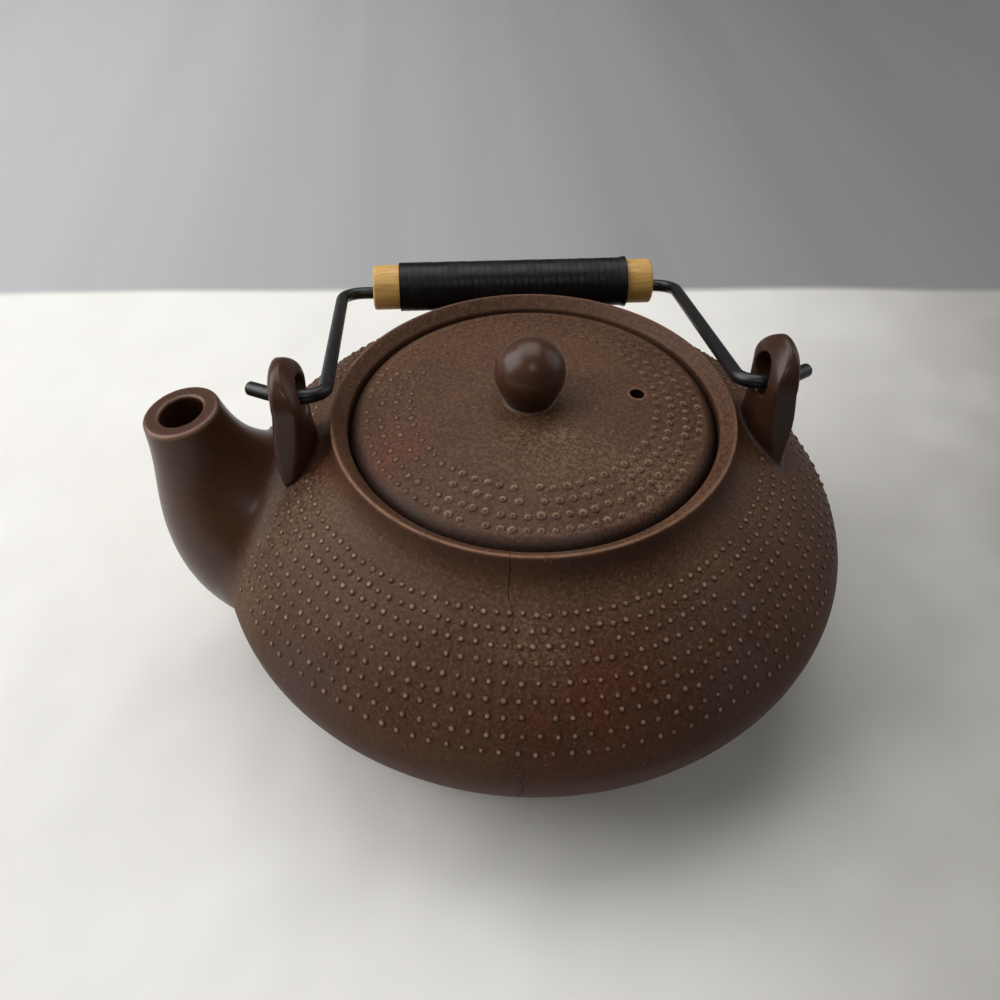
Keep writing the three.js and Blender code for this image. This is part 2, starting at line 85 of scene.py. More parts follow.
def turned(outline, sides):
    """A form turned on the wheel from an outline that closes, or that both ends on the axis."""
    mesh = bmesh.new()
    verts = [mesh.verts.new(point) for point in outline]
    edges = [mesh.edges.new(pair) for pair in zip(verts, verts[1:])]
    if outline[0].x > 0:
        edges.append(mesh.edges.new((verts[-1], verts[0])))
    bmesh.ops.spin(
        mesh, geom=verts + edges, cent=(0, 0, 0), axis=(0, 0, 1), angle=2 * pi,
        steps=sides, use_merge=True, use_duplicate=False,
    )
    bmesh.ops.remove_doubles(mesh, verts=mesh.verts, dist=0.001)
    bmesh.ops.recalc_face_normals(mesh, faces=mesh.faces)
    return mesh


def shown(name, mesh, material, crease=40):
    """The object of a finished bmesh, with edges sharper than the crease left sharp."""
    bmesh.ops.scale(mesh, vec=(millimetre,) * 3, verts=mesh.verts)
    data = bpy.data.meshes.new(name)
    mesh.to_mesh(data)
    mesh.free()
    data.shade_smooth()
    data.set_sharp_from_angle(angle=radians(crease))
    data.materials.append(material)
    made = bpy.data.objects.new(name, data)
    bpy.context.scene.collection.objects.link(made)
    return made


def modified(mesh, kind, settings, tool=None):
    """The mesh after one modifier, whose tool is a second mesh."""
    blanks = []
    for part in (mesh, tool):
        if part is None:
            continue
        blanks.append(bpy.data.objects.new("blank", bpy.data.meshes.new("blank")))
        part.to_mesh(blanks[-1].data)
        part.free()
        bpy.context.scene.collection.objects.link(blanks[-1])
    modifier = blanks[0].modifiers.new(kind, kind)
    for name, value in settings.items():
        setattr(modifier, name, value)
    if tool is not None:
        modifier.object = blanks[1]
    done = bmesh.new()
    done.from_object(blanks[0], bpy.context.evaluated_depsgraph_get())
    for blank in blanks:
        bpy.data.meshes.remove(blank.data)
    return done


def combined(mesh, tool, operation):
    """The union, intersection or difference of two closed meshes."""
    return modified(mesh, "BOOLEAN", {"operation": operation, "solver": "EXACT"}, tool)


def remeshed(mesh, voxel):
    """The mesh in even small faces."""
    return modified(mesh, "REMESH", {"mode": "VOXEL", "voxel_size": voxel, "adaptivity": 0})


def bored(mesh, radius, depth, centre, direction, sides=32):
    """A closed mesh with a round hole drilled through it about a centre."""
    drill = bmesh.new()
    turn = Vector(direction).to_track_quat("Z", "Y").to_matrix().to_4x4()
    bmesh.ops.create_cone(
        drill, cap_ends=True, segments=sides, radius1=radius, radius2=radius, depth=depth,
        matrix=Matrix.Translation(centre) @ turn,
    )
    return combined(mesh, drill, "DIFFERENCE")


def marked(mesh, name, share):
    """Keeps a share from 0 to 1 on each vertex, as a function of its place, for the material."""
    layer = mesh.verts.layers.float.new(name)
    for vert in mesh.verts:
        vert[layer] = min(max(share(vert.co), 0), 1)


class Shade:
    """A socket of a material. Sums on it add Math nodes, and node() adds any other node."""

    def __init__(self, tree, socket):
        self.tree = tree
        self.socket = socket

    def node(self, kind, settings, sockets, out=0):
        """Adds a node, sets it, then fills its sockets with numbers, colours or shades."""
        made = self.tree.nodes.new("ShaderNode" + kind)
        for name, value in settings.items():
            setattr(made, name, value)
        for name, value in sockets.items():
            if isinstance(value, Shade):
                self.tree.links.new(value.socket, made.inputs[name])
            else:
                made.inputs[name].default_value = value
        return Shade(self.tree, made.outputs[out])

    def math(self, operation, first, second=0):
        """A Math node on two numbers or shades."""
        return self.node("Math", {"operation": operation}, {0: first, 1: second})

    def __add__(self, other):
        return self.math("ADD", self, other)

    def __sub__(self, other):
        return self.math("SUBTRACT", self, other)

    def __rsub__(self, other):
        return self.math("SUBTRACT", other, self)

    def __mul__(self, other):
        return self.math("MULTIPLY", self, other)

    __radd__ = __add__
    __rmul__ = __mul__

    def rises(self, low, high):
        """0 under the low value, 1 over the high one, and smooth between them."""
        return self.node(
            "MapRange", {"interpolation_type": "SMOOTHSTEP"}, {0: self, 1: low, 2: high}
        )

    def tint(self, plain, coloured):
        """One colour where this share is 0, the other where it is 1."""
        return self.node("Mix", {"data_type": "RGBA"}, {0: self, 6: plain, 7: coloured}, out=2)

    def noise(self, size, detail=2, shift=0, stretch=(1, 1, 1)):
        """Cloudy noise from 0 to 1 over this place, with clouds about as large as the size."""
        moved = self.node(
            "Mapping", {}, {"Vector": self, "Location": (shift,) * 3, "Scale": stretch}
        )
        return self.node("TexNoise", {}, {"Vector": moved, "Scale": 1 / size, "Detail": detail})

    def near(self, centre, inner, outer):
        """1 within the inner distance of a point, falling to 0 at the outer one."""
        away = self.node(
            "VectorMath", {"operation": "DISTANCE"}, {0: self, 1: centre}, out="Value"
        )
        return 1 - away.rises(inner, outer)

    def attribute(self, name):
        """The share that marked() has kept on the mesh, or 0 where it has none."""
        return self.node("Attribute", {"attribute_name": name}, {}, out="Fac")

    def axes(self):
        """The three parts of a vector."""
        split = self.node("SeparateXYZ", {}, {0: self}).socket.node
        return [Shade(self.tree, out) for out in split.outputs]


def paint(red, green, blue):
    """A colour as it looks on screen, from 0 to 255, for a socket."""
    shares = (value / 255 for value in (red, green, blue))
    return (*((s / 12.92 if s < 0.04045 else ((s + 0.055) / 1.055) ** 2.4) for s in shares), 1)


def new_finish(name, **fixed):
    """A material, its shader, and the place on the object in millimetres."""
    made = bpy.data.materials.new(name)
    made.use_nodes = True
    shader = made.node_tree.nodes["Principled BSDF"]
    for socket, value in fixed.items():
        shader.inputs[socket.replace("_", " ")].default_value = value
    start = Shade(made.node_tree, None)
    place = start.node("TexCoord", {}, {}, out="Object")
    scaled = place.node("VectorMath", {"operation": "SCALE"}, {0: place, "Scale": 1 / millimetre})
    return made, shader, scaled


def lay(shade, shader, socket):
    """Joins a shade to a socket of the shader."""
    shade.tree.links.new(shade.socket, shader.inputs[socket])


def relief(height):
    """The surface's tilt for a height in millimetres."""
    return height.node("Bump", {}, {"Strength": 1.0, "Distance": millimetre, "Height": height})


brown = paint(77, 50, 34)
deep_brown = paint(62, 36, 23)
red_brown = paint(82, 34, 20)
# Grey, partly the firing's tone and partly a painted sheen.
iron_grey_and_sheen = paint(70, 55, 57)
ochre_grain = paint(150, 122, 92)
pale_dust = paint(124, 102, 78)
# Pale stud tops: wear and a painted highlight.
worn_and_highlit_clay = paint(158, 124, 100)
# Rubbed edges, with a painted highlight where they face the front.
rubbed_edge_and_highlight = paint(140, 103, 80)
# The darkest brown is painted shade, laid where the mesh is marked for it.
painted_shade_brown = paint(20, 12, 10)
crack_brown = paint(14, 8, 6)

# Places where the firing left the clay redder; places painted greyer, partly the firing's tone and
# partly a painted sheen of reflected light on the belly's right; and where dust lies: centre and
# reach.
red_places = [((5, -71, 51), 26), ((-34, -14, 74), 16), ((-48, -8, 68), 12)]
grey_and_sheen_places = [((40, -58, 50), 26), ((-52, -50, 40), 20), ((4, -43, 72), 9)]
dusty_places = [
    ((-60, -16, 60), 26), ((-70, -28, 46), 18), ((-72, 4, 66), 9),
    ((-3, -62, 61), 12), ((4, -16, 77), 22), ((24, -28, 75), 18),
]

# The hairline crack down the front runs near this X at this level, and leans by this much.
crack_x = -9.6
crack_level = 45
crack_lean = 0.012
crack_width = 0.2
crack_gape = 0.16


def patches(place, spots):
    """The union of soft round patches, broken up by noise."""
    total = None
    for centre, reach in spots:
        patch = place.near(centre, 0, reach)
        total = patch if total is None else total.math("MAXIMUM", total, patch)
    return total * place.noise(9, 4, 3).rises(0.3, 0.62)


def cracked(place):
    """1 on the crack, which shows at the neck and gapes low on the belly, and is faint between."""
    x, y, z = place.axes()
    wander = (place.noise(7, 1, 23) - 0.5) * 4 + (place.noise(1.3, 1, 29) - 0.5) * 1.2
    away = x - crack_x + (z - crack_level) * crack_lean + wander
    width = crack_width + (1 - z.rises(32, 40)) * crack_gape
    line = 1 - away.math("ABSOLUTE", away).rises(0.06, width)
    faint = 1 - z.rises(34, 41) * 0.8 * (1 - z.rises(62, 66) * 0.6)
    return line * faint * (1 - y.rises(-46, -43)) * z.rises(6, 10)


def clay(name, burnished):
    """Clouded brown clay with ochre grains and dust, or burnished smooth where it isn't raw."""
    made, shader, place = new_finish(name, Specular_IOR_Level=0.33 if burnished else 0.18)
    wear_and_highlight = place.attribute("wear_and_highlight")
    edge = place.attribute("edge")
    painted_shade = place.attribute("painted_shade")
    clouds = place.noise(16, 3).rises(0.3, 0.7)
    fine = place.noise(1.1, 4, 7)
    base = (clouds * 0.5 + fine.rises(0.34, 0.66) * 0.5).tint(deep_brown, brown)
    base = (patches(place, red_places) * 0.7).tint(base, red_brown)
    # Grey patches are partly the firing's tone and partly a painted sheen of reflected light.
    base = (patches(place, grey_and_sheen_places) * 0.6).tint(base, iron_grey_and_sheen)
    facing_up = place.node("NewGeometry", {}, {}, out="Normal").axes()[2].rises(0.1, 0.95)
    dusty = patches(place, dusty_places)
    dust = (facing_up * 0.22 + dusty * 0.42) * place.noise(0.8, 4, 11).rises(0.42, 0.66)
    grains = place.noise(0.34, 2, 5).rises(0.6, 0.72) * (facing_up * 0.18 + dusty * 0.45 + 0.03)
    sparks = place.noise(0.45, 0, 15).rises(0.79, 0.83) * 0.5
    if burnished:
        raw = place.attribute("raw")
        dust = dust * (raw * 0.9 + 0.05)
        grains = grains * (raw * 0.9 + 0.03)
        sparks = sparks * (raw * 0.7 + 0.1)
        base = ((1 - raw) * 0.55).tint(base, deep_brown)
    base = dust.tint(base, pale_dust)
    base = grains.math("MAXIMUM", grains, sparks).tint(base, ochre_grain)
    # Painted shade: darker in the lid's seat and gap, in the vent, under the knob's ball, round
    # the studs' feet, in the craters and over the rear ear.
    base = (painted_shade * 0.8).tint(base, painted_shade_brown)
    # Stud tops are paler: part wear, part a painted highlight.
    rubbed_and_highlit = wear_and_highlight * place.noise(0.9, 3, 17).rises(0.2, 0.55)
    base = rubbed_and_highlit.tint(base, worn_and_highlit_clay)
    # Rubbed edges, made palest at the front of the rim and the lip by a painted highlight.
    base = (edge * (place.noise(2.2, 3, 19).rises(0.25, 0.6) * 0.5 + 0.5)).tint(base, rubbed_edge_and_highlight)
    if burnished:
        rough = 0.27 + raw * 0.25 + fine * 0.1 + dust * 0.3
        bump = fine * 0.015 + grains * 0.03 * raw
    else:
        crack = cracked(place)
        base = crack.tint(base, crack_brown)
        grooves = place.noise(0.9, 2, 19, (0.02, 0.02, 1))
        smooth_foot = 1 - place.axes()[2].rises(12, 24)
        rough = 0.48 + fine * 0.14 + dust * 0.3 - rubbed_and_highlit * 0.08 - smooth_foot * 0.2
        bump = fine * 0.05 + grains * 0.06 + grooves * 0.05 - crack * 0.15
    lay(base, shader, "Base Color")
    lay(rough, shader, "Roughness")
    lay(relief(bump), shader, "Normal")
    return made


fired_clay = clay("fired_clay", burnished=False)
burnished_clay = clay("burnished_clay", burnished=True)

belly = curve(
    [(base_radius, 0), (59.17, 6.23), (belly_radius, 21.2), (belly_radius, belly_height)], 24
)
belly += curve(
    [(belly_radius, belly_height), (belly_radius, 44.5), (64.63, 63.34), shoulder_end], 30
)[1:]
join = belly[-neck_join]
neck = curve(
    [(join.x, join.z), (51.4, 66.6), (rim_outer_radius, 68.4), (rim_outer_radius, 73.2)], 14
)
rim_edge = rounded(
    (rim_outer_radius - rim_round, rim_height - rim_round), rim_round, 0, 90 + rim_slope, 8
)
rim_top = rim_edge[-1]
rim_fall = tan(radians(rim_slope))
rim_inside = [
    Vector((r, 0, rim_top.z - (rim_top.x - r) * rim_fall)) for r in (47, 46.4, 45.8, 45.3)
]
rim_inside.append(Vector((rim_inner_radius, 0, rim_inside[-1].z - rim_lip)))
cavity = curve(
    [cavity_top, (63.5, 59.9), (cavity_radius, 43.7), (cavity_radius, belly_height)], 18
)
cavity_low = [(cavity_radius, belly_height), (cavity_radius, 22.7), (58.6, 10.2)]
cavity += curve([*cavity_low, (floor_radius, floor_height)], 18)[1:]
pot_skin = [*belly[:-neck_join], *neck[:-1], *rim_edge]
pot_mesh = turned([
    Vector((0, 0, 0)),
    Vector((base_radius - base_bevel, 0, 0)),
    *pot_skin,
    *rim_inside,
    *rounded((rim_inner_radius - ledge_round, ledge_height + ledge_round), ledge_round, 0, -90, 3),
    *rounded((mouth_radius + ledge_round, ledge_height - ledge_round), ledge_round, 90, 180, 3),
    *rounded((mouth_radius + ledge_round, ledge_foot), ledge_round, 180, 270, 3),
    *cavity,
    Vector((0, 0, floor_height)),
], pot_sides)
pot_mesh = bored(pot_mesh, inlet_radius, 30, inlet_centre, (1, 0, 0))

outer_pale_line = (48.5, 73.95)
inner_rub = (45.1, 71.6)
# The seat inside the mouth is painted shade: within this radius, over this height, and full below
# the third.
seat_radius = 46
seat_low = 62
seat_shade_top = 69


def near_ring(place, ring, reach):
    """1 on a ring round the axis, as (radius, height), falling to 0 at the reach."""
    return 1 - hypot(hypot(place.x, place.y) - ring[0], place.z - ring[1]) / reach


def rim_edge_wear_and_highlight(place):
    """The rim's edges are rubbed pale; a painted highlight makes the outer one palest at the
    front.
    """
    front = 0.75 - 0.25 * place.y / rim_outer_radius
    return max(near_ring(place, outer_pale_line, 0.42) * front, 0.35 * near_ring(place, inner_rub, 0.4))


def rim_painted_shade(place):
    """Painted shade on the seat of the lid, full low in the mouth and fading out higher up."""
    seat = hypot(place.x, place.y) < seat_radius and place.z > seat_low
    return 1 - (place.z - seat_shade_top) / 3 if seat else 0


marked(pot_mesh, "edge", rim_edge_wear_and_highlight)
marked(pot_mesh, "painted_shade", rim_painted_shade)
pot = shown("pot_shell", pot_mesh, fired_clay)
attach(pot, "pot")
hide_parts("pot_body")

# Spout
# Thrown as a tapering tube, trimmed, and luted over the inlet while both were still damp. The
# joint was smoothed with a finger, and the outside and the lip were burnished.

spout_line = [Vector(p) for p in (
    (-65.1, 0, 33.7), (-77.46, 0, 52.74), (-79.6, 0, 55.28), (-83.2, 0, 78),
)]
spout_radii = [Vector((r, 0, 0)) for r in (23.4, 25.12, 11.5, 9.3)]
spout_steps = 60
spout_sides = 96
spout_root_steps = 20
spout_root_depth = 20
spout_wall = 4
spout_voxel = 0.5
lip_round = 0.8
root_blend = 4
skirt_width = 6
skirt_depth = 1.2
skirt_tuck = 0.3
skirt_fade = 1.5
spout_points = interpolate_bezier(*spout_line, spout_steps + 1)
spout_sizes = [p.x for p in interpolate_bezier(*spout_radii, spout_steps + 1)]


def spout_ring(step, inset, ahead=0):
    """Points round the spout at a step of its length, or of its rounded root if under 0."""
    at = max(step, 0)
    low = min(at, spout_steps - 1)
    direction = (spout_points[low + 1] - spout_points[low]).normalized()
    centre = spout_points[at] + direction * ahead
    radius = spout_sizes[at] - inset
    if step < 0:
        share = step / spout_root_steps
        centre += direction * share * (spout_root_depth - inset)
        radius *= sqrt(1 - share * share)
    side = Vector((0, 1, 0))
    up = direction.cross(side)
    turns = (2 * pi * i / spout_sides for i in range(spout_sides))
    return [centre + side * radius * cos(a) + up * radius * sin(a) for a in turns]


def drawn(rings):
    """A form drawn out ring by ring, with its ends capped."""
    mesh = bmesh.new()
    ring = [mesh.verts.new(place) for place in rings[0]]
    mesh.faces.new(ring)
    for places in rings[1:]:
        edges = [mesh.edges.get(pair) for pair in zip(ring, ring[1:] + ring[:1])]
        made = bmesh.ops.extrude_edge_only(mesh, edges=edges)["geom"]
        twins = {v.co.to_tuple(): v for v in made if isinstance(v, bmesh.types.BMVert)}
        ring = [twins[v.co.to_tuple()] for v in ring]
        for vert, place in zip(ring, places):
            vert.co = place
    mesh.faces.new(ring)
    bmesh.ops.recalc_face_normals(mesh, faces=mesh.faces)
    return mesh


def over(tree, place):
    """How far a place is outside a closed form, and the form's outward direction there."""
    spot, normal, _, away = tree.find_nearest(place)
    return (away if (place - spot).dot(normal) > 0 else -away), normal


def softened(place, carrier, form, width):
    """Moves a place on to the form and its carrier as if a finger had smoothed their joint."""
    for _ in range(5):
        first, first_normal = over(carrier, place)
        second, second_normal = over(form, place)
        blend = max(width - abs(first - second), 0) / width
        share = min(max(0.5 + (second - first) / (2 * width), 0), 1)
        normal = first_normal * share + second_normal * (1 - share)
        height = min(first, second) - blend * blend * width / 4
        place = place - normal * (height / max(normal.length_squared, 0.2))
    return place


def pot_core(inset):
    """The pot without its hollow, smaller all round by an inset."""
    inner = []
    before_each, after_each = pot_skin[:1] + pot_skin, pot_skin[1:] + pot_skin[-1:]
    for before, place, after in zip(before_each, pot_skin, after_each):
        way = (after - before).normalized()
        inner.append(place - Vector((way.z, 0, -way.x)) * inset)
    return turned([Vector((0, 0, inner[0].z)), *inner, Vector((0, 0, inner[-1].z))], pot_sides)


def spout_body(inset, *ends):
    """The spout's form from its rounded root to its mouth, whose rings are (inset, ahead)."""
    rings = [spout_ring(i, inset) for i in range(1 - spout_root_steps, spout_steps - 2)]
    return drawn(rings + [spout_ring(spout_steps, *end) for end in ends])


lip_rings = [(lip_round * narrower, lip_round * ahead) for narrower, ahead in (
    (0, -1), (0.13, -0.5), (0.5, -0.13), (1, 0),
)]
bore_rings = [(spout_wall - wider, ahead) for wider, ahead in (
    (0, -0.7), (0.1, -0.35), (0.35, -0.1), (0.7, 0), (0.7, 3),
)]
spout_form = spout_body(0, *lip_rings)
bore_form = spout_body(spout_wall, *bore_rings)
solid_pot = pot_core(0)
spout_tree = BVHTree.FromBMesh(spout_form)
bore_tree = BVHTree.FromBMesh(bore_form)
solid_tree = BVHTree.FromBMesh(solid_pot)
skirt_form = spout_body(-skirt_width, (-skirt_width, 5))
spout_mesh = combined(spout_form, solid_pot, "UNION")
spout_mesh = combined(spout_mesh, skirt_form, "INTERSECT")
spout_mesh = combined(spout_mesh, pot_core(skirt_depth), "DIFFERENCE")
spout_mesh = combined(spout_mesh, bore_form, "DIFFERENCE")
spout_mesh = remeshed(spout_mesh, spout_voxel)
skin_reach = spout_voxel * 1.2
for vert in spout_mesh.verts:
    outside = over(spout_tree, vert.co)[0]
    height = over(solid_tree, vert.co)[0]
    spot, _, _, to_bore = bore_tree.find_nearest(vert.co)
    to_skin = abs(min(outside, height))
    if to_bore < min(to_skin, skin_reach):
        vert.co = spot
    elif to_skin < skin_reach:
        vert.co = softened(vert.co, solid_tree, spout_tree, root_blend)
        tucked = min(max(outside - root_blend, 0) / skirt_fade, 1) * skirt_tuck
        vert.co -= over(solid_tree, vert.co)[1] * tucked
mouth = spout_points[-1]
mouth_way = (spout_points[-1] - spout_points[-2]).normalized()
lip_radius = 8.9
lip_drop = 0.4
bore_radius_at_lip = 5.4


def lip_edge(place):
    """The lip's outer edge is rubbed pale, with a painted highlight that is strongest at the
    front; the bore's edge is rubbed a little.
    """
    height = (place - mouth).dot(mouth_way)
    across = ((place - mouth) - mouth_way * height).length
    front = 0.35 - 0.65 * min(place.y / 9, 0)
    outer = (1 - hypot(across - lip_radius, height + lip_drop) / 0.9) * front
    return max(outer, 0.5 - hypot(across - bore_radius_at_lip, height) / 1.2)


def spout_raw(place):
    """The joint was left as raw as the pot."""
    return 1 - (over(solid_tree, place)[0] - 0.3) / 2.5


marked(spout_mesh, "edge", lip_edge)
marked(spout_mesh, "raw", spout_raw)
spout = shown("spout_tube", spout_mesh, burnished_clay, crease=50)
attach(spout, "pot")
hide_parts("spout")

# Strainer
# A thin clay dome pierced with a hollow straw and luted over the inlet from the inside, to
# keep the leaves back.

strainer_radius = 15
strainer_wall = 2.5
strainer_centre = (-79.0, 0, inlet_centre[2])
strainer_holes = 7
strainer_hole_radius = 1.6
strainer_tilt = 32
dome_edge = 70
dome = rounded((0, 0), strainer_radius, 90, 90 - dome_edge, 16)
dome += rounded((0, 0), strainer_radius - strainer_wall, 90 - dome_edge, 90, 16)
strainer_mesh = turned(dome, 48)
strainer_mesh.transform(Matrix.Translation(strainer_centre) @ Matrix.Rotation(radians(90), 4, "Y"))
for i in range(strainer_holes):
    tilt = radians(strainer_tilt if i else 0)
    turn = radians(360 / (strainer_holes - 1) * i)
    way = Vector((cos(tilt), sin(tilt) * cos(turn), sin(tilt) * sin(turn)))
    spot = Vector(strainer_centre) + way * strainer_radius
    strainer_mesh = bored(strainer_mesh, strainer_hole_radius, strainer_radius, spot, way, 16)
strainer = shown("strainer_dome", strainer_mesh, fired_clay)
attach(strainer, "pot")
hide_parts("spout_strainer")

# Ears
# Two upright ears of burnished clay, cut to a long leaf-shaped face at the front and the back,
# bored for the bail while leather-hard and luted on to the shoulder.

ear_x = 58.15
ear_crown_radius = 9.3
ear_crown_height = 80.7
ear_top = 90
ear_foot = 61.4
ear_hole_radius = 5.1
ear_hole_height = 80.8
ear_outside = 3.3
ear_inside = 4.5
ear_peak = 0.6
ear_face = 2.7
ear_flare = 2.5
ear_root = 8
ear_voxel = 0.38
ear_blend = 1.4
ear_tuck = 0.4
section_steps = 20
shank_steps = 18
crown_steps = 15


def ear_section(height, span, face, outside, inside, roundness, lean=0):
    """Level section of an ear, whose outside looks along +X: two curved sides, two narrow faces.
    The faces can lean out."""
    middle = (outside - inside) / 2
    half = (outside + inside) / 2
    side = []
    for i in range(section_steps + 1):
        y = -cos(pi * i / section_steps)
        side.append((face + (half - face) * max(1 - y * y, 0) ** (1 / (1 + roundness)), y))
    ring = side + [(-x, y) for x, y in reversed(side)]
    return [Vector((middle + x + lean * y * y, span * y, height)) for x, y in ring]


def ear_sections(foot_span, lean):
    """The shank from inside the shoulder up to the hole, then the crown over it."""
    sections = []
    for i in range(shank_steps + 1):
        u = i / shank_steps
        sections.append(ear_section(
            ear_foot + (ear_crown_height - ear_foot) * u,
            ear_crown_radius + (foot_span / 2 - ear_crown_radius) * (1 - u) ** 2,
            ear_face * sin(pi * (0.08 + 0.62 * u)),
            ear_outside,
            ear_inside + ear_flare * (1 - u) ** 2,
            u * u,
            lean * (1 - u),
        ))
    for i in range(1, crown_steps):
        turn = radians(90 * i / crown_steps)
        height = ear_crown_height + ear_crown_radius * sin(turn)
        rise = max(height - (ear_top - ear_outside), 0) / ear_outside
        outer = ear_peak + (ear_outside - ear_peak) * sqrt(max(1 - rise * rise, 0))
        inner = -ear_peak + (ear_inside + ear_peak) * cos(turn) ** 1.6
        face = (outer + inner) / 2 * 0.6 * cos(turn)
        sections.append(ear_section(height, ear_crown_radius * cos(turn), face, outer, inner, 1))
    root = [Vector((p.x, p.y, ear_foot - ear_root)) for p in sections[0]]
    return [root, *sections]


def ear_mesh(place, side, foot_span, lean, carrier):
    """An ear in its place on the carrier, with its foot spread softly on to it."""
    mesh = drawn(ear_sections(foot_span, lean))
    mesh.transform(Matrix.Translation((place, 0, 0)) @ Matrix.Scale(side, 4, (1, 0, 0)))
    bmesh.ops.recalc_face_normals(mesh, faces=mesh.faces)
    form = BVHTree.FromBMesh(mesh)
    mesh = bored(mesh, ear_hole_radius, 30, (place, 0, ear_hole_height), (1, 0, 0), 48)
    mesh = remeshed(mesh, ear_voxel)
    for _ in range(3):
        bmesh.ops.smooth_vert(
            mesh, verts=mesh.verts, factor=0.5, use_axis_x=True, use_axis_y=True, use_axis_z=True
        )
    deep = [v for v in mesh.verts if over(carrier, v.co)[0] < -ear_blend * 1.2]
    bmesh.ops.delete(mesh, geom=deep, context="VERTS")
    mesh.normal_update()
    for vert in mesh.verts:
        depth, up = over(carrier, vert.co)
        if depth < ear_blend:
            if depth < 0:
                away = (vert.normal - up * vert.normal.dot(up)).normalized()
                vert.co = carrier.find_nearest(vert.co + away * -depth)[0]
            vert.co = softened(vert.co, carrier, form, ear_blend)
    rim = [e for e in mesh.edges if e.is_boundary]
    for vert in {v for e in rim for v in e.verts}:
        vert.co -= over(carrier, vert.co)[1] * ear_tuck
    bmesh.ops.holes_fill(mesh, edges=rim, sides=0)
    marked(mesh, "raw", lambda spot: 0.9 - over(carrier, spot)[0] / 2.5)
    return mesh


def joined_tree(*objects):
    """One tree for objects that carry the next piece, in millimetres."""
    mesh = bmesh.new()
    for made in objects:
        mesh.from_mesh(made.data)
    bmesh.ops.scale(mesh, vec=(1 / millimetre,) * 3, verts=mesh.verts)
    tree = BVHTree.FromBMesh(mesh)
    mesh.free()
    return tree


carrier_tree = joined_tree(pot, spout)
# The sixth value is painted shade over the whole ear, slight on the spout side and deep on the
# rear ear.
for name, place, side, span, lean, painted_ear_shade, node in (
    ("ear_spout_side", -ear_x, -1, 22, 3.4, 0.05, "lug_spout_side"),
    ("ear_rear_side", ear_x + 0.6, 1, 24.6, 2, 0.45, "lug_rear_side"),
):
    ear_form = ear_mesh(place, side, span, lean, carrier_tree)
    marked(ear_form, "painted_shade", lambda spot: painted_ear_shade)
    ear = shown(name, ear_form, burnished_clay, crease=70)
    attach(ear, "pot")
    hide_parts(node)

# Studs of the pot
# Rows of small blunt studs, pressed into the damp clay by hand round the shoulder, not quite
# even, with their tops paler, as wear and a painted highlight, and painted shade round their
# feet. They leave the spout and the ears bare.

stud_radius = 0.66
stud_height = 0.38
stud_sides = 9
studs_in_row = 128
row_waviness = 0.14
stud_drift = 0.05
stud_missing = 0.02
top_row_share = 0.45
ear_margin = 1.6
ear_foot_depth = 5
stud_rows = [100.2, 96.0, 92.6, 89.4, 85.8, 81.7, 78.0, 74.5, 70.5, 66.7]
stud_chance = Random(41)


def stud_form(rings):
    """One stud of unit size from its rings, as (radius, height, top paleness, painted shade). The
    paleness is wear and a painted highlight.
    """
    mesh = bmesh.new()
    wear_and_highlight = mesh.verts.layers.float.new("wear_and_highlight")
    painted_shade = mesh.verts.layers.float.new("painted_shade")
    verts = []
    for radius, height, paleness, painted_shade_share in rings:
        verts.append(mesh.verts.new((radius, 0, height)))
        verts[-1][wear_and_highlight] = paleness
        verts[-1][painted_shade] = painted_shade_share
    edges = [mesh.edges.new(pair) for pair in zip(verts, verts[1:])]
    bmesh.ops.spin(
        mesh, geom=verts + edges, cent=(0, 0, 0), axis=(0, 0, 1), angle=2 * pi,
        steps=stud_sides, use_merge=True, use_duplicate=False,
    )
    bmesh.ops.remove_doubles(mesh, verts=mesh.verts, dist=0.001)
    bmesh.ops.holes_fill(mesh, edges=[e for e in mesh.edges if e.is_boundary], sides=0)
    bmesh.ops.recalc_face_normals(mesh, faces=mesh.faces)
    data = bpy.data.meshes.new("stud")
    mesh.to_mesh(data)
    mesh.free()
    return data


def studded(spots, form, highlight_way=None):
    """A mesh of studs, one on each spot: its place, the way it faces, its width, height and
    paleness.
    Their tops are pale, as wear and a painted highlight, all round or most on the side towards a
    given way."""
    mesh = bmesh.new()
    count = len(form.vertices)
    for place, normal, width, height, paleness in spots:
        mesh.from_mesh(form)
        layer = mesh.verts.layers.float["wear_and_highlight"]
        mesh.verts.ensure_lookup_table()
        turn = normal.to_track_quat("Z", "Y").to_matrix().to_4x4()
        turn = turn @ Matrix.Rotation(stud_chance.uniform(0, pi), 4, "Z")
        size = Matrix.Diagonal((width, width * stud_chance.uniform(0.86, 1.12), height, 1))
        matrix = Matrix.Translation(place) @ turn @ size
        for vert in mesh.verts[len(mesh.verts) - count:]:
            vert.co = matrix @ vert.co
            vert[layer] *= paleness
            if highlight_way:
                vert[layer] *= max(0.35 + 0.8 * (vert.co - place).dot(highlight_way) / width, 0)
    return mesh


def along(outline, distance):
    """Place at a distance along an outline, with its outward direction."""
    for low, high in zip(outline, outline[1:]):
        step = (high - low).length
        if distance <= step:
            way = (high - low).normalized()
            return low.lerp(high, distance / step), Vector((way.z, 0, -way.x))
        distance -= step
    raise ValueError("the outline is shorter than the distance")


def under_ear(place):
    """Whether a place on the shoulder is covered by the foot of an ear."""
    return abs(abs(place.x) - ear_x) < ear_foot_depth and abs(place.y) < ear_crown_radius


